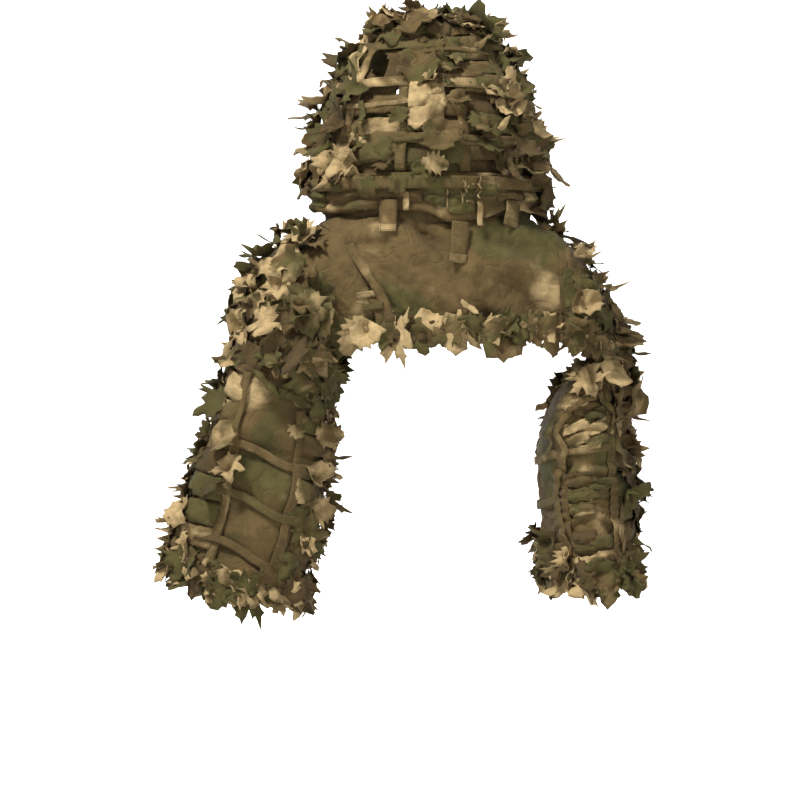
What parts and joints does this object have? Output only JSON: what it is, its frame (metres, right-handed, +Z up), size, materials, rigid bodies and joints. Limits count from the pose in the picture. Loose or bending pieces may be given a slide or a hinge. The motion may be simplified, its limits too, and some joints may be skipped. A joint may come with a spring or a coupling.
{
  "type": "ghillie suit",
  "caption": "Hooded camouflage garment top with cut cloth leaves on tape ladders: yoke, collar, fold-back hood, swinging sleeves, peel tabs and a chest buckle.",
  "frame": {"origin": "middle of the neck opening, where the yoke rests round the neck of its wearer", "axes": "+Z up, the wearer faces -Y, +X is the left of the wearer"},
  "size_m": [0.7047, 0.2825, 0.8978],
  "materials": {
    "cloth": "matt",
    "tape": "matt",
    "leaf": "matt",
    "plastic": "satin",
    "metal": "satin"
  },
  "bodies": {
    "yoke": {"armhole_tape_left": "tape", "armhole_tape_right": "tape", "buckle_socket": "plastic", "chest_strap_left": "tape", "chest_strap_right": "tape", "collar": "cloth", "collar_band": "tape", "hem_leaf_garland": "leaf", "hem_tape": "tape", "yoke_back": "cloth", "yoke_front_left": "cloth", "yoke_front_right": "cloth"},
    "hood": {"drawcord_eyelet_left": "metal", "drawcord_eyelet_right": "metal", "hood_base_band": "tape", "hood_centre_panel": "cloth", "hood_cross_high": "tape", "hood_cross_low": "tape", "hood_cross_middle": "tape", "hood_face_hem": "tape", "hood_leaf_garland_crown": "leaf", "hood_leaf_garland_left": "leaf", "hood_leaf_garland_nape": "leaf", "hood_leaf_garland_right": "leaf", "hood_left_panel": "cloth", "hood_right_panel": "cloth", "hood_upright_centre_left": "tape", "hood_upright_centre_right": "tape", "hood_upright_left": "tape", "hood_upright_right": "tape"},
    "left_sleeve": {"left_cuff_leaf_garland": "leaf", "left_cuff_tape": "tape", "left_shoulder_leaf_garland": "leaf", "left_sleeve_lower": "cloth", "left_sleeve_rung_high": "tape", "left_sleeve_rung_low": "tape", "left_sleeve_rung_middle": "tape", "left_sleeve_tape_front": "tape", "left_sleeve_tape_rear_inner": "tape", "left_sleeve_tape_rear_outer": "tape", "left_sleeve_upper": "cloth"},
    "right_sleeve": {"right_cuff_leaf_garland": "leaf", "right_cuff_tape": "tape", "right_shoulder_leaf_garland": "leaf", "right_sleeve_lower": "cloth", "right_sleeve_rung_high": "tape", "right_sleeve_rung_low": "tape", "right_sleeve_rung_middle": "tape", "right_sleeve_tape_front": "tape", "right_sleeve_tape_rear_inner": "tape", "right_sleeve_tape_rear_outer": "tape", "right_sleeve_upper": "cloth"},
    "tab_left": {"tab_left": "tape"},
    "tab_centre": {"tab_centre": "tape"},
    "tab_right": {"tab_right": "tape"},
    "buckle_plug": {"buckle_plug": "plastic"}
  },
  "joints": [
    {"name": "hood_fold_back", "type": "hinge", "parent": "yoke", "child": "hood", "pos_m": [0, 0.126, 0.0405], "axis": [-1, 0, 0], "range_deg": [0, 70]},
    {"name": "left_sleeve_swing", "type": "hinge", "parent": "yoke", "child": "left_sleeve", "pos_m": [0.128, 0, -0.098], "axis": [-0.8908, -0.2702, 0.3653], "range_deg": [-15, 45]},
    {"name": "right_sleeve_swing", "type": "hinge", "parent": "yoke", "child": "right_sleeve", "pos_m": [-0.1985, 0, -0.11], "axis": [-1, 0, 0], "range_deg": [-15, 45]},
    {"name": "tab_left_peel", "type": "hinge", "parent": "yoke", "child": "tab_left", "pos_m": [0.056, 0.10898, 0.029], "axis": [0.9665, -0.2567, 0], "range_deg": [0, 90]},
    {"name": "tab_centre_peel", "type": "hinge", "parent": "yoke", "child": "tab_centre", "pos_m": [-0.045, 0.10877, -0.002], "axis": [0.9728, 0.2069, 0.1045], "range_deg": [0, 90]},
    {"name": "tab_right_peel", "type": "hinge", "parent": "yoke", "child": "tab_right", "pos_m": [-0.12, 0.08153, 0.028], "axis": [0.7647, 0.5972, 0.2419], "range_deg": [0, 90]},
    {"name": "buckle_release", "type": "slide", "parent": "yoke", "child": "buckle_plug", "axis": [-1, 0, 0], "range_m": [0, 0.026], "deforming": ["chest_strap_right"]}
  ]
}
